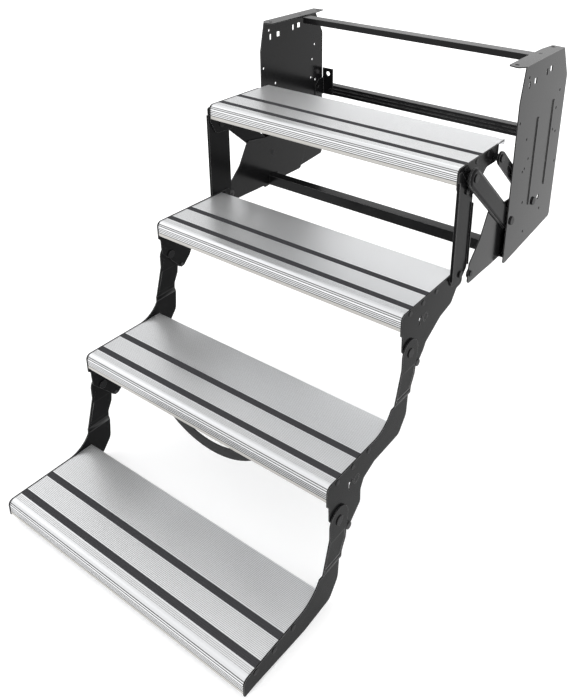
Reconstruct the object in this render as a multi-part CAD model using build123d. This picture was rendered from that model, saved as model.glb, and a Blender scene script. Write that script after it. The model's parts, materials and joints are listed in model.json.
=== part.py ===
from build123d import *
import math
import os

os.makedirs("parts", exist_ok=True)

# All sizes in millimetres. Y runs from the front of the steps to the camper, Z is up.
# The origin is the middle of the four mounting bolts, on top of the side flanges.

# Steps
tread_width = 600.0
tread_depth = 197.0
rise = 215.5
first_run = 173.0
run = 213.0
nose_height = 33.0
nose_radius = 11.0
nose_tube_depth = 18.0
deck_thickness = 3.0
deck_height = 11.0
groove_count = 6
groove_pitch = 2.7
groove_first = 11.5
groove_width = 1.3
groove_depth = 0.8
strip_width = 14.5
strip_fronts = (27.0, 85.0)
strip_slot_depth = 1.4
strip_side_gap = 0.15
strip_stand = 0.5
deck_hollows = ((18.0, 40.0), (43.0, 54.0), (57.0, 98.0), (101.0, 112.0), (115.0, 150.0),
                (153.0, tread_depth - deck_thickness))
screw_places = ((27.0, -7.0), (72.0, -7.0), (120.0, -7.0))
screw_port_radius = 4.0

# Sheet metal and the layers across the object, measured from the middle
sheet = 2.5
tread_end = tread_width / 2
plate_out = tread_end + sheet
leg_in = plate_out + 0.5
leg_out = leg_in + 6.0
arm_plate_in = plate_out + 1.5
arm_plate_out = arm_plate_in + sheet
bracket_in = leg_out + 0.5
bracket_out = bracket_in + sheet
link_in = bracket_out + 0.5
link_out = link_in + 6.5
box_in = link_out + 2.5
box_out = box_in + sheet
end_gap = 0.3
running_fit = 0.06

# Box, heights measured down from the flange and depths from the bolt middle
bolt_span_x = 2 * (box_out - 21)
bolt_span_y = 180.0
bolt_hole_radius = 4.5
flange_width = 34.0
box_front = -106.0
box_rear = 137.0
box_front_low = -417.0
box_rear_low = -396.0

# Nose of the first tread and the pivots, as (y, z)
nose_1 = (-303.0, -145.0)
nose_2 = (nose_1[0] - first_run, nose_1[1] - rise)
nose_3 = (nose_2[0] - run, nose_2[1] - rise)
nose_4 = (nose_3[0] - run, nose_3[1] - rise)
front_arm_reach = (176.0, -152.0)
front_arm_top = (nose_1[0] + 40.0, nose_1[1] - 26.0)
rear_arm_top = (nose_1[0] + 150.0, nose_1[1] - 22.0)
front_arm_foot = (front_arm_top[0] + front_arm_reach[0], front_arm_top[1] + front_arm_reach[1])
rear_arm_foot = (rear_arm_top[0] + front_arm_reach[0], rear_arm_top[1] + front_arm_reach[1])
leg_top = (nose_1[0] + 34.0, nose_1[1] - 52.0)
leg_length = 174.0
leg_foot = (leg_top[0], leg_top[1] - leg_length)
fold_pivot_from_nose = (29.0, -88.0)
hinge_3 = (nose_2[0] + fold_pivot_from_nose[0], nose_2[1] + fold_pivot_from_nose[1])
hinge_4 = (nose_3[0] + fold_pivot_from_nose[0], nose_3[1] + fold_pivot_from_nose[1])
stop_from_pivot = (29.5, -38.0)
rest_pad = (nose_1[0] + 65.0, nose_1[1] - 236.0)

# Pins
arm_pin_radius = 5.0
box_pin_radius = 6.0
fold_pin_radius = 6.0
shoulder_radius = 7.0
head_radius = 8.0
rivet_radius = 2.5
rivet_head_radius = 5.0
rivet_head = 1.2
bolt_radius = 3.0


def shift(points, origin):
    return [(p[0] + origin[0], p[1] + origin[1]) + tuple(p[2:]) for p in points]


def outline(corners):
    """A face in the side plane from (y, z, corner radius) corners."""
    count = len(corners)
    area = sum(a[0] * b[1] - b[0] * a[1] for a, b in zip(corners, corners[1:] + corners[:1]))
    if area < 0:
        corners = corners[::-1]
    cuts = []
    for i in range(count):
        corner = Vector(corners[i][0], corners[i][1])
        radius = corners[i][2] if len(corners[i]) > 2 else 0
        before = (Vector(*corners[i - 1][:2]) - corner).normalized()
        after = (Vector(*corners[(i + 1) % count][:2]) - corner).normalized()
        if radius <= 0:
            cuts.append((corner, None, corner))
            continue
        half = math.radians(before.get_angle(after)) / 2
        back = radius / math.tan(half)
        middle = corner + (before + after).normalized() * (radius / math.sin(half) - radius)
        cuts.append((corner + before * back, middle, corner + after * back))
    edges = []
    for i in range(count):
        start, middle, end = cuts[i]
        if middle is not None:
            edges.append(ThreePointArc(start, middle, end))
        following = cuts[(i + 1) % count][0]
        if (following - end).length > 1e-4:
            edges.append(Line(end, following))
    return make_face(edges)


def side_prism(face, x_in, x_out):
    """Pushes a side face from one layer to another, on the right of the object."""
    flat = Plane.YZ * Pos(0, 0, x_in) * face
    return extrude(flat, amount=x_out - x_in, dir=(1, 0, 0))


def side_cylinder(place, radius, x_in, x_out):
    disc = Plane.YZ * Pos(place[0], place[1], x_in) * Circle(radius)
    return extrude(disc, amount=x_out - x_in, dir=(1, 0, 0))


def hole(place, radius):
    return side_cylinder(place, radius, tread_end - 20, box_out + 20)


def both_sides(part):
    return Compound(children=[solid for solid in part.solids()]
                    + [solid for solid in mirror(part, about=Plane.YZ).solids()])


def left_of(part):
    return mirror(part, about=Plane.YZ)


def save(shape, name):
    shape.label = name
    export_step(shape, "parts/" + name + ".step")


def stepped_pin(place, stages):
    """A turned pin from (x_in, x_out, radius) stages, all on one axis."""
    pin = None
    for x_in, x_out, radius in stages:
        stage = side_cylinder(place, radius, x_in, x_out)
        pin = stage if pin is None else pin + stage
    return pin


# Treads

def tread_section():
    """Hollow nose tube, ribbed deck, grooved front face and slots for the grip strips."""
    section = outline([
        (0, 0, nose_radius), (tread_depth, 0, 1), (tread_depth, -deck_height, 0.5),
        (nose_tube_depth, -deck_height, 2), (nose_tube_depth, -nose_height, 1.5),
        (0, -nose_height, 3)])
    wall = deck_thickness
    tube = outline([
        (wall, -wall, nose_radius - wall), (nose_tube_depth - wall, -wall, 1),
        (nose_tube_depth - wall, wall - nose_height, 1), (wall, wall - nose_height, 1)])
    section -= tube
    hollow = deck_height - wall - strip_slot_depth
    for front, back in deck_hollows:
        middle = (front + back) / 2
        section -= Pos(middle, hollow / 2 - deck_height) * Rectangle(back - front, hollow)
    for place in screw_places:
        section += Pos(*place) * Circle(screw_port_radius)
        section -= Pos(*place) * Circle(rivet_radius)
    for index in range(groove_count):
        drop = groove_first + index * groove_pitch
        section -= Pos(0, -drop) * Rectangle(2 * groove_depth, groove_width)
    for front in strip_fronts:
        slot = Rectangle(strip_width, strip_slot_depth * 2)
        section -= Pos(front + strip_width / 2, 0) * slot
    return section


def tread(nose):
    section = Plane.YZ * Pos(nose[0], nose[1], -tread_end) * tread_section()
    return extrude(section, amount=tread_width, dir=(1, 0, 0))


def grip_strips(nose):
    """Two rubber strips with three ribs along the top, pushed into the tread slots."""
    width = strip_width - 2 * strip_side_gap
    strips = []
    for front in strip_fronts:
        bar = outline([
            (0, -strip_slot_depth), (width, -strip_slot_depth),
            (width, strip_stand, 0.4), (0, strip_stand, 0.4)])
        for rib in range(1, 4):
            bar -= Pos(width * rib / 4, strip_stand) * Rectangle(1.2, 0.8)
        place = (nose[0] + front + strip_side_gap, nose[1], end_gap - tread_end)
        flat = Plane.YZ * Pos(*place) * bar
        strips += extrude(flat, amount=tread_width - 2 * end_gap, dir=(1, 0, 0)).solids()
    return Compound(children=strips)


def tread_rivets(nose, x_out=plate_out):
    """Low headed rivets that hold the side plates to the screw ports of the tread."""
    parts = []
    for place in screw_places:
        centre = (nose[0] + place[0], nose[1] + place[1])
        rivet = stepped_pin(centre, [
            (tread_end - 14, x_out, rivet_radius), (x_out, x_out + rivet_head, rivet_head_radius)])
        parts += both_sides(rivet).solids()
    return Compound(children=parts)


def drill(plate, places, radius):
    for place in places:
        plate -= hole(place, radius)
    return plate


def rivet_spots(nose):
    return [(nose[0] + place[0], nose[1] + place[1]) for place in screw_places]


# Side plates of the steps

def step_1_plate():
    face = outline(shift([
        (-1, 0.5, 11), (166, 0.5, 5), (166, -34, 12), (118, -33, 12), (66, -72, 9),
        (16, -70, 14), (-1, -38, 6)], nose_1))
    plate = side_prism(face, tread_end, plate_out)
    plate = drill(plate, rivet_spots(nose_1), rivet_radius)
    return drill(plate, (front_arm_top, rear_arm_top, leg_top), arm_pin_radius)


# The lower front edge of the lug is cut back to let the nose of the last step swing past
lug_corners = [(66, -132, 6), (57, -133, 5), (6, -77, 10), (5, -44, 8), (-1, -40, 3)]


def step_2_plate():
    face = outline(shift([
        (-1, 0.5, 11), (226, 1.5, 9), (224, -38, 8), (204, -40, 6), (185, -64, 10),
        (143, -73, 15), (92, -101, 8), (84, -114, 5)] + lug_corners, nose_2))
    plate = side_prism(face, tread_end, plate_out)
    plate = drill(plate, rivet_spots(nose_2), rivet_radius)
    plate -= hole(leg_foot, arm_pin_radius)
    plate -= hole(hinge_3, fold_pin_radius)
    plate -= hole(stop_place(hinge_3), 2.0)
    return plate - key_slot(nose_2) + pressed_ring(nose_2)


def key_slot(nose):
    """The short bent slot pressed through the lug, with its stem pointing down."""
    stem = Pos(nose[0] + 63, nose[1] - 42) * Rectangle(4.5, 17)
    arm = Pos(nose[0] + 67, nose[1] - 38) * Rot(0, 0, 50) * SlotOverall(15, 4.5)
    face = Sketch() + stem + arm
    return side_prism(face, tread_end - 1, plate_out + 1)


def pressed_ring(nose):
    ring = Sketch() + Pos(nose[0] + 84, nose[1] - 42) * (Circle(9) - Circle(6.5))
    return side_prism(ring, plate_out, plate_out + 0.4)


def stop_place(hinge):
    return (hinge[0] + stop_from_pivot[0], hinge[1] + stop_from_pivot[1])


joggle_low = 30.0
joggle_high = 37.0
hub_radius = 26.0


def joggled_sheet(nose):
    """A sheet that steps from the tread end layer out to the arm layer above the tread."""
    low = nose[1] + joggle_low
    high = nose[1] + joggle_high
    face = make_face(Polyline(
        (tread_end, -950), (plate_out, -950), (plate_out, low), (arm_plate_out, high),
        (arm_plate_out, 0), (arm_plate_in, 0), (arm_plate_in, high + 1.0),
        (tread_end, low + 1.0), close=True))
    return extrude(Plane.XZ * face, amount=1000, both=True)


def arm_plate(nose, with_lug):
    """Curved arm, its round hub and the long foot that carries the tread."""
    hub = (nose[0] + run + fold_pivot_from_nose[0], nose[1] + rise + fold_pivot_from_nose[1])
    arm_corners = [
        (-1, 0.5, 11), (186, 0.5, 62), (216, 104, 12), (216, 127, 1), (268, 127, 1),
        (266, 104, 20), (262, 72, 15), (251, 50, 12), (246, -12, 26), (222, -42, 14)]
    if with_lug:
        lower = [(140, -45, 12), (107, -58, 8), (98, -76, 8), (98, -104, 10)] + lug_corners
    else:
        lower = [(150, -46, 40), (24, -34, 6), (-1, -34, 4)]
    face = outline(shift(arm_corners + lower, nose))
    face += Pos(hub[0], hub[1]) * Circle(hub_radius)
    plate = side_prism(face, tread_end - 1, arm_plate_out + 1) & joggled_sheet(nose)
    plate = drill(plate, rivet_spots(nose), rivet_radius)
    plate -= hole(hub, fold_pin_radius + running_fit)
    if with_lug:
        plate = plate - hole(hinge_4, fold_pin_radius) - hole(stop_place(hinge_4), 2.0)
        plate = plate - key_slot(nose) + pressed_ring(nose)
    return plate


def fold_pins(hinge):
    """Shouldered pins of a folding step: fixed in the upper plate, the arm turns on them."""
    pin = stepped_pin(hinge, [
        (tread_end - 3, tread_end, head_radius + 1), (tread_end, plate_out, fold_pin_radius),
        (plate_out, arm_plate_in - end_gap, head_radius + 1),
        (arm_plate_in - end_gap, arm_plate_out + end_gap, fold_pin_radius),
        (arm_plate_out + end_gap, arm_plate_out + 1.8, head_radius + 1)])
    return both_sides(pin)


def stop_bumpers(hinge):
    """Rubber buttons the arm leans on when the step is down."""
    place = stop_place(hinge)
    bumper = stepped_pin(place, [
        (tread_end - 2.0, tread_end, 4.0), (tread_end, plate_out, 2.0),
        (plate_out, arm_plate_out + 0.5, 7.0)])
    return both_sides(bumper)


# Legs between the first and the second step

def leg():
    """Channel with its open side outward; the pin heads sit inside it."""
    corners = [(-4, -6, 5), (8, -6, 6), (60, -68, 14), (60, -221, 3), (41, -240, 5), (-2, -240, 12)]
    face = outline(shift(corners, nose_1))
    web = side_prism(face, leg_in, leg_in + sheet)
    rim = [(-4, -24), (-4 + sheet, -24), (-4 + sheet, -226), (-4, -226)]
    back = [(60 - sheet, -84), (60, -84), (60, -214), (60 - sheet, -214)]
    web += side_prism(outline(shift(rim, nose_1)), leg_in, leg_out)
    web += side_prism(outline(shift(back, nose_1)), leg_in, leg_out)
    return drill(web, (leg_top, leg_foot), arm_pin_radius + running_fit)


def leg_pins(place):
    pin = stepped_pin(place, [
        (tread_end - 2.5, tread_end, shoulder_radius), (tread_end, plate_out, arm_pin_radius),
        (plate_out, leg_in + sheet + end_gap, arm_pin_radius),
        (leg_in + sheet + end_gap, leg_out - 0.5, shoulder_radius)])
    return both_sides(pin)


# Swinging arms between the box and the first step

def link_face(top, foot, radius):
    reach = Vector(*top) - Vector(*foot)
    middle = (Vector(*top) + Vector(*foot)) * 0.5
    angle = math.degrees(math.atan2(reach.Y, reach.X))
    return Sketch() + Pos(middle.X, middle.Y) * Rot(0, 0, angle) * SlotCenterToCenter(
        reach.length, 2 * radius)


def front_arm():
    """Deep pressed channel, closed side outward, with rounded outer edges."""
    body = side_prism(link_face(front_arm_top, front_arm_foot, 19), link_in, link_out)
    body = fillet(body.faces().sort_by(Axis.X)[-1].edges(), 3.0)
    body -= side_prism(link_face(front_arm_top, front_arm_foot, 16.5), link_in - 1,
                       link_out - sheet)
    body = drill(body, (front_arm_top,), arm_pin_radius + running_fit)
    return drill(body, (front_arm_foot,), box_pin_radius + running_fit)


def rear_arm():
    """Flat bar with round ends and a pressed groove along its middle."""
    body = side_prism(link_face(rear_arm_top, rear_arm_foot, 14), link_in + 1, link_out - 0.5)
    inner_top = tuple(a + (b - a) * 0.2 for a, b in zip(rear_arm_top, rear_arm_foot))
    inner_foot = tuple(a + (b - a) * 0.8 for a, b in zip(rear_arm_top, rear_arm_foot))
    body -= side_prism(link_face(inner_top, inner_foot, 5), link_out - 2.0, link_out)
    body = drill(body, (rear_arm_top,), arm_pin_radius + running_fit)
    return drill(body, (rear_arm_foot,), box_pin_radius + running_fit)


def arm_top_pins(place, x_in, x_out):
    """Pins fixed in the first step plate; x_in and x_out are the faces of the arm."""
    pin = stepped_pin(place, [
        (tread_end - 2.5, tread_end, head_radius), (tread_end, plate_out, arm_pin_radius),
        (plate_out, x_in - end_gap, shoulder_radius),
        (x_in - end_gap, x_out + end_gap, arm_pin_radius),
        (x_out + end_gap, box_in - 0.5, head_radius)])
    return both_sides(pin)


def box_pins(place, x_in, x_out):
    """Pins held between the lower bracket and the side plate of the box."""
    pin = stepped_pin(place, [
        (bracket_in - 0.4, bracket_in, head_radius + 1), (bracket_in, bracket_out, box_pin_radius),
        (bracket_out, x_in - end_gap, head_radius + 1),
        (x_in - end_gap, x_out + end_gap, box_pin_radius),
        (x_out + end_gap, box_in, head_radius + 1), (box_in, box_out, box_pin_radius),
        (box_out, box_out + 3.0, head_radius + 1)])
    return both_sides(pin)


# Box

square_holes = ((-40, -39), (39, -31))
upright_slots = ((-69, -41), (17, -33))
round_holes = ((-74, -25), (104, -91), (94, -128), (-96, -112), (89, -175), (107, -184),
               (-53, -157), (-33, -204), (-47, -222), (-56, -226), (125, -258), (-37, -301),
               (-16, -376), (66, -352))
large_holes = ((51, -319),)
beads = ((-3, -122, -319), (75, -104, -298))
bar_place = (21.0, 28.0)
bar_drop = 14.0
bar_bolt_x = box_out - 20
bar_rivet_radius = 4.0


def side_plate():
    """Box side with an inward flange, bent edge, windows, pressed beads and corner cuts."""
    face = outline([
        (-91, 0), (102, 0, 6), (box_rear, -65, 14), (box_rear, box_rear_low, 8),
        (box_front, box_front_low, 7), (box_front, -70, 14)])
    plate = side_prism(face, box_in, box_out)
    flange_shape = outline([
        (box_out - 0.01, -91), (box_out - 0.01, 102), (box_out - flange_width + 6, 106, 3),
        (box_out - flange_width, 60, 2), (box_out - flange_width, -100, 6),
        (box_out - 12, -106, 6)])
    flange = extrude(Pos(0, 0, -sheet) * flange_shape, amount=sheet)
    plate += flange
    for y in (bolt_span_y / 2, -bolt_span_y / 2):
        plate -= Pos(bolt_span_x / 2, y, 0) * Cylinder(bolt_hole_radius, 20)
    plate -= Pos(bar_bolt_x, bar_place[0], 0) * Cylinder(bar_rivet_radius, 20)
    for y, z in square_holes:
        plate -= Pos(box_out, y, z) * Box(20, 12, 12)
    for place in upright_slots:
        slot = Sketch() + Pos(*place) * Rot(0, 0, 90) * SlotOverall(15, 7)
        plate -= side_prism(slot, box_in - 1, box_out + 1)
    plate = drill(plate, round_holes, 3.2)
    plate = drill(plate, large_holes, 6.0)
    plate = drill(plate, (front_arm_foot, rear_arm_foot), box_pin_radius)
    for y, top, low in beads:
        bead = Sketch() + Pos(y, (top + low) / 2) * Rot(0, 0, 90) * SlotOverall(top - low, 9)
        ridge = side_prism(bead, box_out, box_out + 2.0)
        ridge = chamfer(ridge.faces().sort_by(Axis.X)[-1].edges(), 1.6)
        plate += ridge
    return plate


def top_cross_bar():
    """Channel under the flanges whose sides stop short of its flat bolted ends."""
    y, width = bar_place
    length = 2 * (bar_bolt_x + 13)
    bar = Pos(0, y, -1.5 * sheet) * Box(length, width, sheet)
    side_length = 2 * (box_out - flange_width - 6)
    wall = Box(side_length, sheet, bar_drop - sheet)
    for side in (-1, 1):
        bar += Pos(0, y + side * (width - sheet) / 2, -sheet - (bar_drop + sheet) / 2) * wall
        bar -= Pos(side * bar_bolt_x, y, 0) * Cylinder(bar_rivet_radius, 30)
    return bar


def bar_rivets():
    parts = []
    for side in (-1, 1):
        place = Pos(side * bar_bolt_x, bar_place[0], 0)
        shank = place * Pos(0, 0, -sheet) * Cylinder(bar_rivet_radius, 2 * sheet)
        head = place * Pos(0, 0, -2 * sheet - 1.5) * Cylinder(7.5, 3)
        parts += (shank + head).solids()
    return Compound(children=parts)


channel_top = -203.0
channel_height = 26.0
channel_depth = 20.0
channel_front = box_rear + 2.0 + sheet
channel_rivet_x = tread_end - 4
channel_rivet_radius = 3.0


def mid_cross_channel():
    """Rolled channel across the back of the box with two shallow grooves in its face."""
    y, z = channel_front, channel_top
    section = make_face(Polyline(
        (y, z), (y, z - channel_height), (y + channel_depth, z - channel_height),
        (y + channel_depth, z - channel_height + sheet), (y + sheet, z - channel_height + sheet),
        (y + sheet, z - sheet), (y + channel_depth, z - sheet), (y + channel_depth, z), close=True))
    shape = Sketch() + section
    for drop in (8.0, 17.0):
        shape -= Pos(y, z - drop) * Rectangle(1.6, 2.4)
    half = tread_end + 8
    channel = extrude(Plane.YZ * Pos(0, 0, -half) * shape, amount=2 * half, dir=(1, 0, 0))
    for side in (-1, 1):
        channel -= Pos(side * channel_rivet_x, y, z - channel_height / 2) * Rot(90, 0, 0) * (
            Cylinder(channel_rivet_radius, 12))
    return channel


def channel_brackets():
    """Angle brackets inside the rear edges, each with an open bolt hole above the channel."""
    low, high = channel_top - channel_height, channel_top + 44
    flat = side_prism(outline([
        (105, low, 6), (box_rear + 2 + sheet, low), (box_rear + 2 + sheet, high - 26),
        (120, high - 26, 6), (105, high - 40, 6)]), box_in - sheet, box_in)
    width = 32.0
    lug = Pos(box_in - width / 2, channel_front - sheet / 2, (low + high) / 2) * (
        Box(width, sheet, high - low))
    bracket = flat + lug
    bracket -= Pos(box_in - 17, channel_front, high - 14) * Rot(90, 0, 0) * Cylinder(6.0, 20)
    bracket -= Pos(channel_rivet_x, channel_front, channel_top - channel_height / 2) * (
        Rot(90, 0, 0) * Cylinder(channel_rivet_radius, 20))
    for z in (channel_top - 18, channel_top - 2):
        bracket -= side_cylinder((116, z), 3.0, box_in - 6, box_in + 1)
    return both_sides(bracket)


def channel_rivets():
    place = Pos(channel_rivet_x, channel_front, channel_top - channel_height / 2) * Rot(90, 0, 0)
    shank = place * Cylinder(channel_rivet_radius, 2 * sheet)
    head = Cylinder(5.5, 2.0)
    front = place * Pos(0, 0, sheet + 1.0) * head
    back = place * Pos(0, 0, -sheet - 1.0) * head
    return both_sides(shank + front + back)


bar_front = -98.0
bar_low = -407.0
bar_size = 25.0
bar_foot = 33.0
lower_bolt_place = (bar_front + 20, bar_low + bar_size / 2 + 2)


def lower_cross_bar():
    """Angle bar with its ends turned down flat against the lower brackets."""
    x = bracket_in
    face = Pos(0, bar_front + sheet / 2, bar_low + bar_size / 2) * Box(2 * x, sheet, bar_size)
    shelf = Pos(0, bar_front + bar_size / 2, bar_low + bar_size - sheet / 2) * (
        Box(2 * x, bar_size, sheet))
    foot = Pos(x - sheet / 2, bar_front + bar_foot / 2, bar_low + bar_size / 2) * (
        Box(sheet, bar_foot, bar_size))
    foot -= side_cylinder(lower_bolt_place, bolt_radius, x - 6, x + 1)
    return face + shelf + foot + left_of(foot)


def lower_bolts():
    pin = stepped_pin(lower_bolt_place, [
        (bracket_in - sheet - 2.5, bracket_in - sheet, 5.5),
        (bracket_in - sheet, bracket_out, bolt_radius), (bracket_out, bracket_out + 4.0, 5.5)])
    return both_sides(pin)


def lower_bracket():
    """Inner plate that holds the arm pivots; its long tip carries the foot of the leg."""
    face = outline(shift([
        (57, -257, 8), (59, -214, 12), (98, -177, 30), (128, -124, 12), (196, -134, 30),
        (352, -142, 14), (356, -200, 30), (330, -258, 8), (150, -258, 10), (121, -257, 0)],
        nose_1))
    plate = side_prism(face, bracket_in, bracket_out)
    y0, y1, z0 = nose_1[0] + 200, nose_1[0] + 310, nose_1[1] - 258
    plate += Pos((bracket_in + box_in) / 2, (y0 + y1) / 2, z0 + sheet / 2) * (
        Box(box_in - bracket_in, y1 - y0, sheet))
    plate = drill(plate, (front_arm_foot, rear_arm_foot), box_pin_radius)
    return drill(plate, (rest_pad, lower_bolt_place), bolt_radius)


def rest_pads():
    """Rubber pads at the bracket tips, under the cut corner of each leg."""
    ring = side_cylinder(rest_pad, 9.0, bracket_in - 2.3, bracket_in)
    return both_sides(ring - hole(rest_pad, bolt_radius))


def rest_bolts():
    pin = stepped_pin(rest_pad, [
        (bracket_in - 1.8, bracket_out, bolt_radius), (bracket_out, bracket_out + 3.0, 6.0)])
    return both_sides(pin)


# Pull strap under the third step

strap_width = 28.0
strap_thickness = 3.0
strap_half_span = 165.0
strap_sag = 105.0


def pull_strap():
    """Stiff rubber strap bowed below the deck, both ends held on a deck rib."""
    top = nose_3[1] - deck_height
    outer = ThreePointArc((-strap_half_span, top), (0, top - strap_sag), (strap_half_span, top))
    inner_half = strap_half_span - strap_width * 1.25
    inner = ThreePointArc((inner_half, top), (0, top - strap_sag + strap_width),
                          (-inner_half, top))
    face = make_face([outer, Line((strap_half_span, top), (inner_half, top)), inner,
                      Line((-inner_half, top), (-strap_half_span, top))])
    place = nose_3[0] + 40.0 + strap_thickness
    return extrude(Plane.XZ * Pos(0, 0, -place) * face, amount=strap_thickness)


noses = {1: nose_1, 2: nose_2, 3: nose_3, 4: nose_4}
for number, nose in noses.items():
    save(tread(nose), "tread_%d" % number)
    save(grip_strips(nose), "grip_strips_%d" % number)
    save(tread_rivets(nose), "tread_rivets_%d" % number)

right_parts = {
    "step_1_plate": step_1_plate(),
    "step_2_plate": step_2_plate(),
    "step_3_arm_plate": arm_plate(nose_3, True),
    "step_4_arm_plate": arm_plate(nose_4, False),
    "leg": leg(),
    "front_arm": front_arm(),
    "rear_arm": rear_arm(),
    "side_plate": side_plate(),
    "lower_bracket": lower_bracket(),
}
for name, part in right_parts.items():
    save(part, name + "_right")
    save(left_of(part), name + "_left")

save(fold_pins(hinge_3), "fold_pins_3")
save(fold_pins(hinge_4), "fold_pins_4")
save(stop_bumpers(hinge_3), "stop_bumpers_3")
save(stop_bumpers(hinge_4), "stop_bumpers_4")
save(leg_pins(leg_top), "leg_top_pins")
save(leg_pins(leg_foot), "leg_foot_pins")
save(arm_top_pins(front_arm_top, link_out - sheet, link_out), "front_arm_top_pins")
save(arm_top_pins(rear_arm_top, link_in + 1, link_out - 0.5), "rear_arm_top_pins")
save(box_pins(front_arm_foot, link_out - sheet, link_out), "front_arm_foot_pins")
save(box_pins(rear_arm_foot, link_in + 1, link_out - 0.5), "rear_arm_foot_pins")
save(top_cross_bar(), "top_cross_bar")
save(bar_rivets(), "top_bar_rivets")
save(mid_cross_channel(), "mid_cross_channel")
save(channel_brackets(), "channel_brackets")
save(channel_rivets(), "channel_rivets")
save(lower_cross_bar(), "lower_cross_bar")
save(lower_bolts(), "lower_bar_bolts")
save(rest_pads(), "rest_pads")
save(rest_bolts(), "rest_bolts")
save(pull_strap(), "pull_strap")
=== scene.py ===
import json
import math

import bmesh
import bpy
from mathutils import Matrix, Vector


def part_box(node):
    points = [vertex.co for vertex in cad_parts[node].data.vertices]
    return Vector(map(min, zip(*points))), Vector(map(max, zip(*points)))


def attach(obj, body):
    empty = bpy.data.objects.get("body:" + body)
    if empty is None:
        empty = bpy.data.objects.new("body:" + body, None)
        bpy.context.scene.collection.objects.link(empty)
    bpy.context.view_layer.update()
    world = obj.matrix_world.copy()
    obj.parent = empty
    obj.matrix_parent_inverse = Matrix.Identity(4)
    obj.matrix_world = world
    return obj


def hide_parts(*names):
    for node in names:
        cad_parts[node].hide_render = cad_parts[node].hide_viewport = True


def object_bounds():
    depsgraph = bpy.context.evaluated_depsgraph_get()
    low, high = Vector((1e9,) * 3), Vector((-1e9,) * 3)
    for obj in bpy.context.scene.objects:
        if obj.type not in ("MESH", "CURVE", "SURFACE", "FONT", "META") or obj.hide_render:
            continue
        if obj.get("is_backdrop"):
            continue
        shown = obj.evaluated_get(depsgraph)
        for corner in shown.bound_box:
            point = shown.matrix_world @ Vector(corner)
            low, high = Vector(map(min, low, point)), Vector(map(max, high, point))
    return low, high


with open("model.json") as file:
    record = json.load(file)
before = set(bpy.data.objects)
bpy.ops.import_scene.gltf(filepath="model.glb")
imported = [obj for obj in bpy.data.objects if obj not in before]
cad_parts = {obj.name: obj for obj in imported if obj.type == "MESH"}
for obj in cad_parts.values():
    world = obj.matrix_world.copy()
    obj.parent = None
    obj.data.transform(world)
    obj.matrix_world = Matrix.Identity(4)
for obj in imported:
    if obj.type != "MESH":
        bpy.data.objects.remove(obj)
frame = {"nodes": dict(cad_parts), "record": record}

bl_info = {
    "name": "Folding Entry Step Looks",
    "version": (1, 0, 0),
    "blender": (4, 5, 0),
    "location": "View3D > Sidebar > Entry Step",
    "description": "Builds the treads, steel, pins, rubber and studio of a folding entry step",
    "category": "Object",
}

MM = 0.001

# Tread section in millimetres, from the nose face back and from the top face down
NOSE_HEIGHT = 33.0
NOSE_TUBE_DEPTH = 18.0
NOSE_ROUND = 11.0
DECK_HEIGHT = 11.0
DECK_SKIN = 3.0
STRIP_FRONTS = (27.0, 85.0)
STRIP_WIDTH = 14.5
STRIP_SLOT = 1.4
DECK_HOLLOWS = ((18.0, 40.0), (43.0, 54.0), (57.0, 98.0), (101.0, 112.0), (115.0, 150.0),
                (153.0, 194.0))

# Corner cuts of the tread section in millimetres
DECK_REAR_TOP_CUT = 1.0
DECK_REAR_FOOT_CUT = 0.5
TUBE_REAR_CUT = 1.5
TUBE_FRONT_CUT = 3.0
TUBE_FRONT_BULGE = 0.9

# A fine rib as shares of the pitch: half its flat crown, and where its flank ends
RIB_CROWN = 0.3
RIB_FOOT = 0.36

# Nose grooves in millimetres: depths, half widths at mouth and floor, and the first one's place
ROUND_GROOVE_DEPTH = 0.8
FACE_GROOVE_DEPTH = 0.9
FACE_GROOVE_MOUTH = 0.85
FACE_GROOVE_FLOOR = 0.7
FIRST_FACE_GROOVE = 1.4

# Grooves in the round, as shares of the groove pitch: half widths at mouth and floor, and
# where the plain arc starts after the last one
ROUND_GROOVE_MOUTH = 0.22
ROUND_GROOVE_FLOOR = 0.18
PLAIN_ARC_START = 0.6
PLAIN_ARC_STEPS = 8

# How far under the skin, in millimetres, a face lies before it counts as part of a groove
UNDER_SKIN = 0.1
UNDER_ROUND = 0.15

# The plain band along the foot of the nose, coloured with a painted reflection of the floor,
# starts at this height, in millimetres
LOWER_BAND = -27.0

# Grip strips: play in their slots, rounded shoulders, and three channels along the crown
STRIP_PLAY = 0.3 * MM
STRIP_SHOULDER = 0.5 * MM
CHANNEL_PLACES = (0.25, 0.5, 0.75)
CHANNEL_MOUTH = 0.6 * MM
CHANNEL_FLOOR = 0.4 * MM
CHANNEL_DEPTH = 0.45 * MM

# Faces of the curved arms, measured from the middle of the object in metres, and how far a
# panel is pressed out of each. A depth below zero goes into the sheet.
ARM_OUTER_FACE = 0.3065
ARM_INNER_FACE = 0.304
PANEL_DEPTHS = ((ARM_OUTER_FACE, -0.8 * MM), (ARM_INNER_FACE, 0.2 * MM))

# The pressed panel's heights above its tread, its plain rim and the width of its slope
PANEL_LOW = 43.0 * MM
PANEL_HIGH = 97.0 * MM
PANEL_RIM = 4.0 * MM
PANEL_SLOPE = 1.2 * MM

# Front arms: round ends, pivots set in from the ends, a flat flange and a rounded crown
ARM_RADIUS = 21.0 * MM
ARM_PIVOT_INSET = 19.0 * MM
FLANGE_THICKNESS = 2.5 * MM
FLANGE_EDGE = 0.6 * MM
CROWN_SETBACK = 3.0 * MM
CROWN_FOOT = 1.0 * MM
CROWN_EDGE = 4.6 * MM
ARM_END_STEPS = 20

# Rubber pieces, and the height of the band that the pull strap keeps within
RUBBER_EDGE = 0.8 * MM
STRAP_BAND = 28.0 * MM
STRAP_STEPS = 64

# Edges that turn by more than these angles, in degrees, get rounded
SHEET_CORNER = 40.0
HEAD_CORNER = 50.0

# Edges that turn by more than these angles, in degrees, are shaded as sharp
STEEL_CREASE = 35.0
TREAD_CREASE = 20.0
STRIP_CREASE = 50.0

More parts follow.
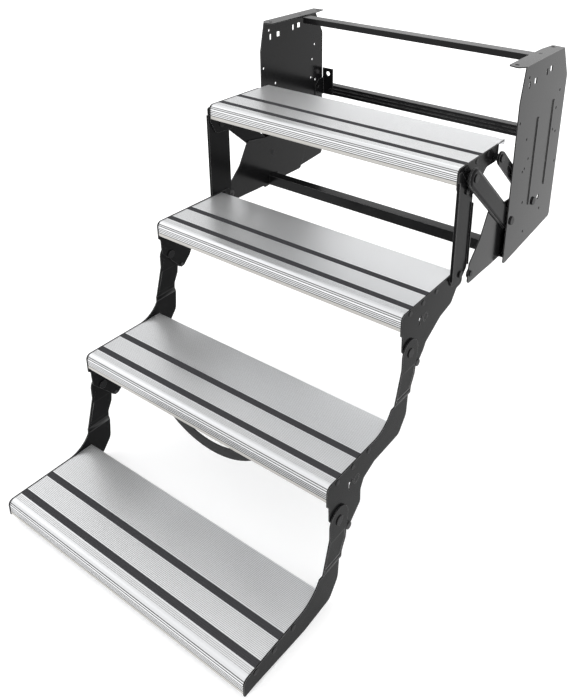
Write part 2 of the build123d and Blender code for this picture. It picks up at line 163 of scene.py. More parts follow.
# Welding of a CAD node: distance in metres between points, angle in degrees of one flat face
WELD_DISTANCE = 1e-6
FLAT_ANGLE = 0.5

# Faces within this distance, in metres, lie in one layer of a sheet
LAYER_PLAY = 1e-5

STEPS = (1, 2, 3, 4)
STEEL_SHEETS = {
    "box": ("side_plate_left", "side_plate_right", "top_cross_bar", "mid_cross_channel",
            "channel_brackets", "lower_cross_bar", "lower_bracket_left",
            "lower_bracket_right"),
    "rear_arms": ("rear_arm_left", "rear_arm_right"),
    "step_1": ("step_1_plate_left", "step_1_plate_right"),
    "legs": ("leg_left", "leg_right"),
    "step_2": ("step_2_plate_left", "step_2_plate_right"),
    "step_3": ("step_3_arm_plate_left", "step_3_arm_plate_right"),
    "step_4": ("step_4_arm_plate_left", "step_4_arm_plate_right"),
}
TURNED_PARTS = {
    "box": ("front_arm_foot_pins", "rear_arm_foot_pins", "rest_bolts", "channel_rivets",
            "top_bar_rivets", "lower_bar_bolts"),
    "step_1": ("front_arm_top_pins", "rear_arm_top_pins", "leg_top_pins", "tread_rivets_1"),
    "step_2": ("leg_foot_pins", "fold_pins_3", "tread_rivets_2"),
    "step_3": ("fold_pins_4", "tread_rivets_3"),
    "step_4": ("tread_rivets_4",),
}
RUBBER_BUTTONS = {"box": ("rest_pads",), "step_2": ("stop_bumpers_3",),
                  "step_3": ("stop_bumpers_4",)}

# Paints: roughness where glossy and where dull, index of refraction, brightness of the painted
# highlight along the edges. The index is low because the white surroundings would wash a truer
# gloss out.
PAINTS = {
    "black_paint": ((0.14, 0.24), 1.23, 0.3),
    "deep_black_paint": ((0.18, 0.28), 1.13, 0.3),
    "pin_coating": ((0.3, 0.45), 1.2, 0.16),
}
# Width and sharpness of the painted highlight along the edges
EDGE_RADIUS = 1.2 * MM
EDGE_CONTRAST = 6.0

# How many times lighter dust on paint and bloom on rubber are than the colour under them
DUST_GAIN = 2.2
BLOOM_GAIN = 1.8

# Tread metal: painted shade between the ribs and in the nose grooves, colour of the plain band
# with a painted reflection of a darker floor, and the four metals of the section in the order of
# their material slots
RIB_VALLEY_PAINTED_SHADE = 0.53
NOSE_GROOVE_PAINTED_SHADE = 0.14
BAND_PAINTED_FLOOR_REFLECTION = (0.55, 0.535, 0.51, 1.0)
SECTION_METALS = ("tread_aluminium", "painted_shade_rib_valley_aluminium", "painted_shade_nose_groove_aluminium",
                  "painted_floor_reflection_band_aluminium")
TREAD_SLOT, VALLEY_SLOT, GROOVE_SLOT, BAND_SLOT = range(4)
METAL_ROUGHNESS = (0.42, 0.54)
METAL_SHARE = 0.3

# Notches across the ribs, drawn only as painted shade: half their pitch, the tone of their
# painted shade, where a slope starts and ends as shares of that half pitch, and the least upward
# part of the normal of a face that has them
NOTCH_PITCH = 2.2 * MM
NOTCH_SHADE = 0.89
NOTCH_SLOPE = (0.2, 0.6)
NEARLY_LEVEL = 0.95

# Scales of the noise textures that a material chooses, per metre
PEEL_SCALE = 240.0
STREAK_SCALE = 900.0
STRIP_GRAIN_SCALE = 900.0
SOFT_GRAIN_SCALE = 600.0

# Camera found from the photograph: place in metres, angles in degrees, sizes in pixels
CAMERA_PLACE = (0.8679, -1.4827, 0.3881)
CAMERA_YAW = 35.54
CAMERA_DOWN = 23.32
CAMERA_ROLL = 0.71
IMAGE_WIDTH = 569
IMAGE_HEIGHT = 700
FOCAL_PIXELS = 791.0
VIEW_CENTRE = (331.0, 180.0)

# Soft lamps: name, place, aim, width and height in metres, power in watts
SOFTBOXES = (
    ("key_softbox", (0.9, -1.0, 3.0), (0.0, -0.4, -0.4), (2.6, 2.0), 16.0),
    ("side_softbox", (-2.4, -0.8, 1.4), (0.0, -0.4, -0.4), (2.0, 1.6), 6.0),
    ("back_softbox", (-0.4, 2.4, 1.3), (0.0, -0.3, -0.3), (2.8, 1.6), 10.0),
)
WORLD_LIGHT = 1.15

# Floor: half its width, its gap under the object, and its glow from the middle outwards
FLOOR_REACH = 7.0
FLOOR_GAP = 0.5 * MM
FLOOR_GLOW = {"From Min": 1.0, "From Max": 4.0, "To Min": 0.26, "To Max": 0.6}


# Sizes and colours that a user may change

class EntryStepSizes(bpy.types.PropertyGroup):
    rib_pitch: bpy.props.FloatProperty(
        name="Rib pitch", description="Distance between the fine ribs on top of a tread",
        default=2.9 * MM, min=0.5 * MM, unit="LENGTH", precision=5)
    rib_depth: bpy.props.FloatProperty(
        name="Rib depth", description="Depth of the grooves between the fine ribs",
        default=0.5 * MM, min=0.0, unit="LENGTH", precision=5)
    nose_groove_pitch: bpy.props.FloatProperty(
        name="Nose groove pitch", description="Distance between the grooves in a tread nose",
        default=3.7 * MM, min=0.5 * MM, unit="LENGTH", precision=5)
    nose_groove_count: bpy.props.IntProperty(
        name="Nose grooves", description="Grooves in the flat face of a tread nose", default=4,
        min=0)
    round_groove_count: bpy.props.IntProperty(
        name="Grooves in the round", description="Grooves in the rounded top of a tread nose",
        default=2, min=0)
    sheet_edge: bpy.props.FloatProperty(
        name="Sheet edge", description="Rounding along the edges of the painted steel",
        default=0.5 * MM, min=0.0, unit="LENGTH", precision=5)
    head_edge: bpy.props.FloatProperty(
        name="Head edge", description="Rounding along the rims of pin and rivet heads",
        default=0.6 * MM, min=0.0, unit="LENGTH", precision=5)
    strap_width: bpy.props.FloatProperty(
        name="Strap width", description="Width of the rubber pull strap",
        default=22.0 * MM, min=1.0 * MM, unit="LENGTH", precision=4)
    strap_thickness: bpy.props.FloatProperty(
        name="Strap thickness", description="Thickness of the rubber pull strap",
        default=3.0 * MM, min=0.5 * MM, unit="LENGTH", precision=5)


class EntryStepColours(bpy.types.PropertyGroup):
    paint: bpy.props.FloatVectorProperty(
        name="Paint", description="Black gloss paint on the steel", subtype="COLOR",
        size=4, default=(0.006, 0.006, 0.0063, 1.0), min=0.0, max=1.0)
    pins: bpy.props.FloatVectorProperty(
        name="Pins", description="Black coating on pins and rivets", subtype="COLOR",
        size=4, default=(0.006, 0.006, 0.0065, 1.0), min=0.0, max=1.0)
    aluminium: bpy.props.FloatVectorProperty(
        name="Aluminium", description="Mill finish of the extruded treads", subtype="COLOR",
        size=4, default=(0.94, 0.942, 0.94, 1.0), min=0.0, max=1.0)
    grip: bpy.props.FloatVectorProperty(
        name="Grip strips", description="Matt rubber of the grip strips", subtype="COLOR",
        size=4, default=(0.014, 0.0155, 0.0155, 1.0), min=0.0, max=1.0)
    rubber: bpy.props.FloatVectorProperty(
        name="Rubber", description="Rubber of the strap, pads and bumpers", subtype="COLOR",
        size=4, default=(0.01, 0.01, 0.0105, 1.0), min=0.0, max=1.0)
    floor: bpy.props.FloatVectorProperty(
        name="Floor", description="Pale studio floor", subtype="COLOR",
        size=4, default=(0.86, 0.86, 0.86, 1.0), min=0.0, max=1.0)


# Node helpers

def feed(tree, socket, value):
    """Links a socket to another socket, or gives it a plain value."""
    if isinstance(value, bpy.types.NodeSocket):
        tree.links.new(value, socket)
    else:
        socket.default_value = value


def calculate(tree, operation, first, second, clamp=False):
    """The result of a math node on two sockets or numbers."""
    node = tree.nodes.new("ShaderNodeMath")
    node.operation = operation
    node.use_clamp = clamp
    feed(tree, node.inputs[0], first)
    feed(tree, node.inputs[1], second)
    return node.outputs["Value"]


def to_range(tree, value, low, high):
    """Maps a 0 to 1 value to the range from low to high, which may be sockets or numbers."""
    node = tree.nodes.new("ShaderNodeMapRange")
    feed(tree, node.inputs["Value"], value)
    feed(tree, node.inputs["To Min"], low)
    feed(tree, node.inputs["To Max"], high)
    return node.outputs["Result"]


def object_noise(tree, scale, detail, stretch=(1.0, 1.0, 1.0)):
    """Noise from 0 to 1 on object coordinates, stretched along the given axes."""
    place = tree.nodes.new("ShaderNodeTexCoord")
    mapping = tree.nodes.new("ShaderNodeMapping")
    noise = tree.nodes.new("ShaderNodeTexNoise")
    mapping.inputs["Scale"].default_value = stretch
    feed(tree, mapping.inputs["Vector"], place.outputs["Object"])
    feed(tree, noise.inputs["Vector"], mapping.outputs["Vector"])
    feed(tree, noise.inputs["Scale"], scale)
    noise.inputs["Detail"].default_value = detail
    return noise.outputs["Fac"]


# Shader node groups

def new_group(name, inputs, outputs):
    """An empty shader node group with number sockets, and its inner input and output."""
    group = bpy.data.node_groups.new(name, "ShaderNodeTree")
    for label, value in inputs.items():
        socket = group.interface.new_socket(label, in_out="INPUT", socket_type="NodeSocketFloat")
        socket.default_value = value
    for label in outputs:
        group.interface.new_socket(label, in_out="OUTPUT", socket_type="NodeSocketFloat")
    given = group.nodes.new("NodeGroupInput").outputs
    result = group.nodes.new("NodeGroupOutput").inputs
    return group, given, result


def paint_film_group():
    """Orange peel of sprayed paint, with faint dull patches and dust."""
    group, given, result = new_group(
        "paint_film", {"Peel Scale": PEEL_SCALE, "Gloss Low": 0.2, "Gloss High": 0.34},
        ("Height", "Roughness", "Dust"))
    patches = object_noise(group, scale=9.0, detail=4.0)
    specks = object_noise(group, scale=1300.0, detail=1.0)
    cloud = object_noise(group, scale=5.0, detail=3.0)
    feed(group, result["Height"], object_noise(group, given["Peel Scale"], detail=2.0))
    feed(group, result["Roughness"],
         to_range(group, patches, given["Gloss Low"], given["Gloss High"]))
    feed(group, result["Dust"], calculate(group, "MULTIPLY", specks, cloud))
    return group


def painted_edge_highlight_group():
    """A mask that is high along outer edges, where a painted highlight lightens the colour."""
    group, given, result = new_group(
        "painted_edge_highlight", {"Radius": EDGE_RADIUS, "Contrast": EDGE_CONTRAST}, ("Mask",))
    soft = group.nodes.new("ShaderNodeBevel")
    soft.samples = 4
    feed(group, soft.inputs["Radius"], given["Radius"])
    flat = group.nodes.new("ShaderNodeNewGeometry")
    cosine = group.nodes.new("ShaderNodeVectorMath")
    cosine.operation = "DOT_PRODUCT"
    feed(group, cosine.inputs[0], soft.outputs["Normal"])
    feed(group, cosine.inputs[1], flat.outputs["True Normal"])
    turned = calculate(group, "SUBTRACT", 1.0, cosine.outputs["Value"])
    sharp = calculate(group, "MULTIPLY", turned, given["Contrast"], clamp=True)
    # Noise that breaks the painted highlight into patches
    highlight_breakup = object_noise(group, scale=60.0, detail=3.0)
    feed(group, result["Mask"], calculate(group, "MULTIPLY", sharp, highlight_breakup))
    return group


def drawn_metal_group():
    """Fine streaks that run along an extrusion, with slow changes of tone."""
    group, given, result = new_group(
        "drawn_metal", {"Streak Scale": STREAK_SCALE, "Dull": METAL_ROUGHNESS[0],
                        "Duller": METAL_ROUGHNESS[1]}, ("Tone", "Roughness", "Height"))
    streaks = object_noise(group, given["Streak Scale"], detail=3.0, stretch=(0.02, 1.0, 1.0))
    slow = object_noise(group, scale=7.0, detail=3.0, stretch=(0.5, 1.0, 1.0))
    both = calculate(group, "MULTIPLY", streaks, slow)
    feed(group, result["Tone"], to_range(group, both, low=0.94, high=1.18))
    feed(group, result["Roughness"],
         to_range(group, streaks, given["Dull"], given["Duller"]))
    feed(group, result["Height"], streaks)
    return group


def painted_notch_shade_group():
    """Painted shade of small notches rolled across the ribs on top of a tread, at even steps
    along X.
    """
    group, given, result = new_group(
        "painted_rib_notch_shade", {"Pitch": NOTCH_PITCH, "Shade": NOTCH_SHADE}, ("Tone",))
    place = group.nodes.new("ShaderNodeTexCoord")
    along = group.nodes.new("ShaderNodeSeparateXYZ")
    upward = group.nodes.new("ShaderNodeSeparateXYZ")
    feed(group, along.inputs["Vector"], place.outputs["Object"])
    feed(group, upward.inputs["Vector"], place.outputs["Normal"])
    steps = calculate(group, "PINGPONG", along.outputs["X"], given["Pitch"])
    valley = group.nodes.new("ShaderNodeMapRange")
    valley.interpolation_type = "SMOOTHSTEP"
    for label, share in zip(("From Min", "From Max"), NOTCH_SLOPE):
        valley.inputs[label].default_value = share
    feed(group, valley.inputs["Value"], calculate(group, "DIVIDE", steps, given["Pitch"]))
    top_only = calculate(group, "GREATER_THAN", upward.outputs["Z"], NEARLY_LEVEL)
    cut = calculate(group, "MULTIPLY", valley.outputs["Result"], top_only)
    feed(group, result["Tone"], to_range(group, cut, 1.0, given["Shade"]))
    return group


def rubber_grain_group():
    """Fine moulded grain with a faint bloom."""
    group, given, result = new_group(
        "rubber_grain", {"Grain Scale": 700.0}, ("Height", "Roughness", "Bloom"))
    bloom = object_noise(group, scale=12.0, detail=4.0)
    feed(group, result["Height"], object_noise(group, given["Grain Scale"], detail=2.0))
    feed(group, result["Roughness"], to_range(group, bloom, low=0.5, high=0.72))
    feed(group, result["Bloom"], bloom)
    return group


# Materials

def new_material(name):
    material = bpy.data.materials.new(name)
    material.use_nodes = True
    tree = material.node_tree
    return material, tree, tree.nodes["Principled BSDF"]


def add_group(tree, group, **values):
    """The outputs of a node group placed in a material with its own values."""
    node = tree.nodes.new("ShaderNodeGroup")
    node.node_tree = group
    for name, value in values.items():
        node.inputs[name.replace("_", " ")].default_value = value
    return node.outputs


def mix_colour(tree, factor, first, second):
    """Mixes two colours by a mask and returns the colour socket."""
    node = tree.nodes.new("ShaderNodeMix")
    node.data_type = "RGBA"
    feed(tree, node.inputs["Factor"], factor)
    for socket, colour in zip((s for s in node.inputs if s.type == "RGBA"), (first, second)):
        feed(tree, socket, colour)
    return next(s for s in node.outputs if s.type == "RGBA")


def scaled(colour, factor):
    return tuple(min(1.0, part * factor) for part in colour[:3]) + (1.0,)


def add_bump(tree, shader, height, strength, distance):
    bump = tree.nodes.new("ShaderNodeBump")
    bump.inputs["Strength"].default_value = strength
    bump.inputs["Distance"].default_value = distance
    feed(tree, bump.inputs["Height"], height)
    feed(tree, shader.inputs["Normal"], bump.outputs["Normal"])


def painted_steel(name, colour, groups):
    """Gloss paint over steel with orange peel, faint dust and a painted highlight along the
    edges.
    """
    (glossy, dull), refraction, edge = PAINTS[name]
    _, tree, shader = new_material(name)
    film = add_group(tree, groups["paint_film"], Peel_Scale=PEEL_SCALE, Gloss_Low=glossy,
                     Gloss_High=dull)
    # The edge mask paints a highlight along the edges, in the brightness given for each paint
    painted_glint = add_group(tree, groups["painted_edge_highlight"], Radius=EDGE_RADIUS, Contrast=EDGE_CONTRAST)
    dusty = mix_colour(tree, film["Dust"], tuple(colour), scaled(colour, DUST_GAIN))
    edged = mix_colour(tree, painted_glint["Mask"], dusty, (edge, edge, edge, 1.0))
    feed(tree, shader.inputs["Base Color"], edged)
    feed(tree, shader.inputs["Roughness"], film["Roughness"])
    shader.inputs["IOR"].default_value = refraction
    add_bump(tree, shader, film["Height"], strength=0.25, distance=0.1 * MM)


def tread_metal(name, colour, groups):
    """Bare extruded aluminium with drawn streaks and the painted shade of notches across the
    ribs.
    """
    _, tree, shader = new_material(name)
    drawn = add_group(tree, groups["drawn_metal"], Streak_Scale=STREAK_SCALE,
                      Dull=METAL_ROUGHNESS[0], Duller=METAL_ROUGHNESS[1])
    # The notch group paints shade across the tops of the ribs
    notches = add_group(tree, groups["painted_rib_notch_shade"], Pitch=NOTCH_PITCH, Shade=NOTCH_SHADE)
    tone = tree.nodes.new("ShaderNodeVectorMath")
    tone.operation = "SCALE"
    tone.inputs[0].default_value = tuple(colour)[:3]
    feed(tree, tone.inputs["Scale"], calculate(tree, "MULTIPLY", drawn["Tone"], notches["Tone"]))
    feed(tree, shader.inputs["Base Color"], tone.outputs["Vector"])
    feed(tree, shader.inputs["Roughness"], drawn["Roughness"])
    shader.inputs["Metallic"].default_value = METAL_SHARE
    add_bump(tree, shader, drawn["Height"], strength=0.3, distance=0.05 * MM)


def moulded_rubber(name, colour, groups, grain_scale):
    """Matt rubber with a moulded grain and a faint bloom."""
    _, tree, shader = new_material(name)
    grain = add_group(tree, groups["rubber_grain"], Grain_Scale=grain_scale)
    bloom = mix_colour(tree, grain["Bloom"], tuple(colour), scaled(colour, BLOOM_GAIN))
    feed(tree, shader.inputs["Base Color"], bloom)
    feed(tree, shader.inputs["Roughness"], grain["Roughness"])
    add_bump(tree, shader, grain["Height"], strength=0.4, distance=0.12 * MM)


def build_materials(colours):
    # The edge group paints a highlight along the edges of the paints
    groups = {"paint_film": paint_film_group(), "painted_edge_highlight": painted_edge_highlight_group(),
              "drawn_metal": drawn_metal_group(), "rubber_grain": rubber_grain_group(),
              "painted_rib_notch_shade": painted_notch_shade_group()}
    painted_steel("black_paint", colours.paint, groups)
    painted_steel("deep_black_paint", colours.paint, groups)
    painted_steel("pin_coating", colours.pins, groups)
    # The valley and groove tones are painted shade, and the band colour is a painted reflection
    # of the floor
    tones = (colours.aluminium, scaled(colours.aluminium, RIB_VALLEY_PAINTED_SHADE),
             scaled(colours.aluminium, NOSE_GROOVE_PAINTED_SHADE), BAND_PAINTED_FLOOR_REFLECTION)
    for name, tone in zip(SECTION_METALS, tones):
        tread_metal(name, tone, groups)
    moulded_rubber("grip_rubber", colours.grip, groups, STRIP_GRAIN_SCALE)
    moulded_rubber("soft_rubber", colours.rubber, groups, SOFT_GRAIN_SCALE)


# Mesh helpers

def finish_piece(bm, name, body, material, nodes, crease=STEEL_CREASE):
    """Makes an object from a bmesh that is already in its place, parents it to the empty of its
    body and hides the CAD nodes that it stands for.
    """
    mesh = bpy.data.meshes.new(name)
    bm.to_mesh(mesh)
    bm.free()
    mesh.materials.append(bpy.data.materials[material])
    mesh.shade_smooth()
    mesh.set_sharp_from_angle(angle=math.radians(crease))
    piece = bpy.data.objects.new(name, mesh)
    bpy.context.scene.collection.objects.link(piece)
    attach(piece, body)
    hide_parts(*nodes)
    return piece


def even_shading(piece):
    """Lets the large flat faces of a sheet set the shading of the rounded edges beside them."""
    weighted = piece.modifiers.new("even_shading", "WEIGHTED_NORMAL")
    weighted.mode = "FACE_AREA"
    weighted.weight = 100
    weighted.keep_sharp = True


def copy_of_node(node):
    """A welded copy of a CAD node, with its flat faces made whole again."""
    bm = bmesh.new()
    bm.from_mesh(frame["nodes"][node].data)
    bmesh.ops.remove_doubles(bm, verts=bm.verts, dist=WELD_DISTANCE)
    bmesh.ops.dissolve_limit(bm, angle_limit=math.radians(FLAT_ANGLE), verts=bm.verts,
                             edges=bm.edges)
    return bm


def soften(bm, width, angle, segments):
    """Rounds every edge that turns by more than the angle."""
    sharp = [edge for edge in bm.edges
             if len(edge.link_faces) == 2 and edge.calc_face_angle(0.0) > math.radians(angle)]
    bmesh.ops.bevel(bm, geom=sharp, offset=width, offset_type="OFFSET", segments=segments,
                    profile=0.5, affect="EDGES", material=-1, clamp_overlap=True)


def side_face(bm, points):
    """A closed face in the side plane at x = 0 through (y, z) points."""
    return bm.faces.new([bm.verts.new((0.0, y, z)) for y, z in points])


def on_arc(centre, radius, angle):
    """A point on an arc in the side plane, its angle in degrees."""
    turn = math.radians(angle)
    return centre[0] + radius * math.cos(turn), centre[1] + radius * math.sin(turn)


def arc_points(centre, radius, start, end, steps):
    """Evenly spaced points along an arc in the side plane, angles in degrees."""
    return [on_arc(centre, radius, start + (end - start) * k / steps) for k in range(steps + 1)]


def push_along_x(bm, face, x_low, x_high):
    """Extrudes a side face into a bar from x_low to x_high, and returns the face at x_high."""
    bmesh.ops.translate(bm, verts=face.verts, vec=(x_low, 0.0, 0.0))
    made = bmesh.ops.extrude_face_region(bm, geom=[face])
    cap = next(item for item in made["geom"] if isinstance(item, bmesh.types.BMFace))
    bmesh.ops.translate(bm, verts=cap.verts, vec=(x_high - x_low, 0.0, 0.0))
    bmesh.ops.recalc_face_normals(bm, faces=bm.faces)
    return cap


# Treads

def ribbed_run(front, back, pitch, depth):
    """Top points of a ribbed stretch, with a plain land at each end."""
    count = max(1, int((back - front - pitch) / pitch))
    margin = (back - front - count * pitch) / 2
    points = [(front, 0.0)]
    for index in range(count):
        start = front + margin + index * pitch
        points += [(start + RIB_CROWN * pitch, 0.0), (start + RIB_FOOT * pitch, -depth),
                   (start + (1.0 - RIB_FOOT) * pitch, -depth),
                   (start + (1.0 - RIB_CROWN) * pitch, 0.0)]
    return points + [(back, 0.0)]


def nose_round(pitch, count):
    """The rounded top of the nose with small grooves that follow it, from the face upwards."""
    middle = (NOSE_ROUND, -NOSE_ROUND)
    turn = math.degrees(pitch / NOSE_ROUND)
    floor = NOSE_ROUND - ROUND_GROOVE_DEPTH
    points = [(0.0, -NOSE_ROUND)]
    for index in range(1, count + 1):
        centre = 180.0 - index * turn
        for reach, step in ((NOSE_ROUND, ROUND_GROOVE_MOUTH), (floor, ROUND_GROOVE_FLOOR),
                            (floor, -ROUND_GROOVE_FLOOR), (NOSE_ROUND, -ROUND_GROOVE_MOUTH)):
            points.append(on_arc(middle, reach, centre + step * turn))
    plain_start = 180.0 - (count + PLAIN_ARC_START) * turn
    return points + arc_points(middle, NOSE_ROUND, plain_start, 90.0, PLAIN_ARC_STEPS)


def deck_top(sizes, depth):
    """The top of the deck from the nose back: three ribbed stretches and two strip slots."""
    fronts = [NOSE_ROUND] + [front + STRIP_WIDTH for front in STRIP_FRONTS]
    backs = list(STRIP_FRONTS) + [depth - DECK_REAR_TOP_CUT]
    points = []
    for index, (front, back) in enumerate(zip(fronts, backs)):
        if index:
            points.append((front, -STRIP_SLOT))
        points += ribbed_run(front, back, sizes.rib_pitch / MM, sizes.rib_depth / MM)
        if index < len(STRIP_FRONTS):
            points.append((back, -STRIP_SLOT))
    return points


def deck_underside(depth):
    """The back edge of the deck and its open hollows, from the back to the nose tube."""
    points = [(depth, -DECK_REAR_TOP_CUT), (depth, DECK_REAR_FOOT_CUT - DECK_HEIGHT),
              (depth - DECK_REAR_FOOT_CUT, -DECK_HEIGHT)]
    ceiling = -DECK_SKIN - STRIP_SLOT
    for front, back in reversed(DECK_HOLLOWS):
        points += [(back, -DECK_HEIGHT), (back, ceiling), (front, ceiling)]
        if front > NOSE_TUBE_DEPTH:
            points.append((front, -DECK_HEIGHT))
    return points


def nose_face(pitch, count):
    """The foot of the nose tube and its front face with the grooves, from the back upwards."""
    points = [(NOSE_TUBE_DEPTH, TUBE_REAR_CUT - NOSE_HEIGHT),
              (NOSE_TUBE_DEPTH - TUBE_REAR_CUT, -NOSE_HEIGHT), (TUBE_FRONT_CUT, -NOSE_HEIGHT),
              (TUBE_FRONT_BULGE, TUBE_FRONT_BULGE - NOSE_HEIGHT),
              (0.0, TUBE_FRONT_CUT - NOSE_HEIGHT)]
    for index in reversed(range(count)):
        z = -NOSE_ROUND - FIRST_FACE_GROOVE - index * pitch
        points += [(0.0, z - FACE_GROOVE_MOUTH), (FACE_GROOVE_DEPTH, z - FACE_GROOVE_FLOOR),
                   (FACE_GROOVE_DEPTH, z + FACE_GROOVE_FLOOR), (0.0, z + FACE_GROOVE_MOUTH)]
    return points


def tread_section(sizes, depth):
    """The whole tread section as (y, z) points in millimetres from its nose."""
    pitch = sizes.nose_groove_pitch / MM
    return (nose_round(pitch, sizes.round_groove_count) + deck_top(sizes, depth)
            + deck_underside(depth) + nose_face(pitch, sizes.nose_groove_count))


def between_ribs(y, z, rib_depth):
    """True for a point of the section, in millimetres, that lies between two ribs on top."""
    return y > NOSE_ROUND and -rib_depth - UNDER_SKIN < z < -UNDER_SKIN


def in_nose_groove(y, z):
    """True for a point of the section, in millimetres, that lies in a groove of the nose."""
    from_middle = math.hypot(y - NOSE_ROUND, z + NOSE_ROUND)
    if y < NOSE_ROUND and z > -NOSE_ROUND:
        return from_middle < NOSE_ROUND - UNDER_ROUND
    return (UNDER_SKIN < y < FACE_GROOVE_DEPTH + UNDER_SKIN
            and TUBE_FRONT_CUT - NOSE_HEIGHT < z <= -NOSE_ROUND)


def section_metal(y, z, rib_depth):
    """Material slot for a face of the extrusion at a point of its section."""
    # Faces between the ribs carry painted shade
    if between_ribs(y, z, rib_depth):
        return VALLEY_SLOT
    # Faces in the nose grooves carry painted shade
    if in_nose_groove(y, z):
        return GROOVE_SLOT
    # The plain band at the foot of the nose carries a painted reflection of the floor
    if y < TUBE_FRONT_BULGE and z < LOWER_BAND:
        return BAND_SLOT
    return TREAD_SLOT


class ENTRYSTEP_OT_treads(bpy.types.Operator):
    """Builds the four ribbed aluminium treads with grooved noses and hollow undersides"""
    bl_idname = "entry_step.treads"
    bl_label = "Treads"

    def execute(self, context):
        sizes = context.scene.entry_step_sizes
        for step in STEPS:
            node = "tread_%d" % step
            low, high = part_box(node)
            depth = (high.y - low.y) / MM
            bm = bmesh.new()
            face = side_face(bm, [(low.y + y * MM, high.z + z * MM)
                                  for y, z in tread_section(sizes, depth)])
            push_along_x(bm, face, low.x, high.x)
            for side in bm.faces:
                middle = side.calc_center_median()
                if abs(side.normal.x) < 0.5:
                    side.material_index = section_metal(
                        (middle.y - low.y) / MM, (middle.z - high.z) / MM, sizes.rib_depth / MM)
            piece = finish_piece(bm, "ribbed_tread_%d" % step, "step_%d" % step,
                                 SECTION_METALS[TREAD_SLOT], (node,),
                                 TREAD_CREASE)
            for metal in SECTION_METALS[1:]:
                piece.data.materials.append(bpy.data.materials[metal])
        return {"FINISHED"}


def strip_section(front, width, low, high):
    """A grip strip with rounded shoulders and shallow channels along its crown."""
    back = front + width
    points = [(front, low), (front, high - STRIP_SHOULDER), (front + STRIP_SHOULDER, high)]
    for share in CHANNEL_PLACES:
        middle = front + width * share
        points += [(middle - CHANNEL_MOUTH, high), (middle - CHANNEL_FLOOR, high - CHANNEL_DEPTH),
                   (middle + CHANNEL_FLOOR, high - CHANNEL_DEPTH), (middle + CHANNEL_MOUTH, high)]
    return points + [(back - STRIP_SHOULDER, high), (back, high - STRIP_SHOULDER), (back, low)]


class ENTRYSTEP_OT_grip_strips(bpy.types.Operator):
    """Builds the two rubber strips that sit in the slots of each tread"""
    bl_idname = "entry_step.grip_strips"
    bl_label = "Grip Strips"

    def execute(self, context):
        width = STRIP_WIDTH * MM - STRIP_PLAY
        for step in STEPS:
            node = "grip_strips_%d" % step
            low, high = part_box(node)
            bm = bmesh.new()
            for front in (low.y, high.y - width):
                face = side_face(bm, strip_section(front, width, low.z, high.z))
                push_along_x(bm, face, low.x, high.x)
            finish_piece(bm, "grip_strip_pair_%d" % step, "step_%d" % step, "grip_rubber",
                         (node,), STRIP_CREASE)
        return {"FINISHED"}


# Painted steel

def face_layer(bm, x_face):
    """The faces of a sheet that lie in one layer across the object, on either side."""
    return [face for face in bm.faces if abs(face.normal.x) > 0.99
            and abs(abs(face.calc_center_median().x) - x_face) < LAYER_PLAY]


def press_panel(bm, x_face, low, high, drop):
    """Presses a panel into one face of an arm between two heights, with a rim around it."""
    for height in (low, high):
        layer = face_layer(bm, x_face)
        parts = set(layer)
        for face in layer:
            parts.update(face.edges)
            parts.update(face.verts)
        bmesh.ops.bisect_plane(bm, geom=list(parts), plane_co=(0.0, 0.0, height),
                               plane_no=(0.0, 0.0, 1.0))
    panel = [face for face in face_layer(bm, x_face)
             if low < face.calc_center_median().z < high]
    for thickness, depth in ((PANEL_RIM, 0.0), (PANEL_SLOPE, drop)):
        bmesh.ops.inset_region(bm, faces=panel, thickness=thickness, depth=depth,
                               use_even_offset=True)


class ENTRYSTEP_OT_steel_sheets(bpy.types.Operator):
    """Gives the plates, arms, legs, bars and brackets their rounded sheet edges"""
    bl_idname = "entry_step.steel_sheets"
    bl_label = "Steel Sheets"

    def execute(self, context):
        sizes = context.scene.entry_step_sizes
        for body, nodes in STEEL_SHEETS.items():
            paint = "black_paint" if body == "box" else "deep_black_paint"
            for node in nodes:
                bm = copy_of_node(node)
                if "arm_plate" in node:
                    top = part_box("tread_" + body[-1])[1].z
                    for x_face, drop in PANEL_DEPTHS:
                        press_panel(bm, x_face, top + PANEL_LOW, top + PANEL_HIGH, drop)
                soften(bm, sizes.sheet_edge, SHEET_CORNER, segments=2)
                piece = finish_piece(bm, "painted_" + node, body, paint, (node,))
                even_shading(piece)
        return {"FINISHED"}


def rounded_bar(bm, ends, radius, x_low, x_high, edge, segments):
    """A bar with round ends between two (y, z) places, its face at x_high well rounded."""
    start, end = (Vector(place) for place in ends)
    turn = math.degrees(math.atan2(end.y - start.y, end.x - start.x))
    points = arc_points(end, radius, turn - 90.0, turn + 90.0, ARM_END_STEPS)
    points += arc_points(start, radius, turn + 90.0, turn + 270.0, ARM_END_STEPS)
    cap = push_along_x(bm, side_face(bm, points), x_low, x_high)
    bmesh.ops.bevel(bm, geom=cap.edges[:], offset=edge, offset_type="OFFSET",
                    segments=segments, profile=0.5, affect="EDGES", material=-1)


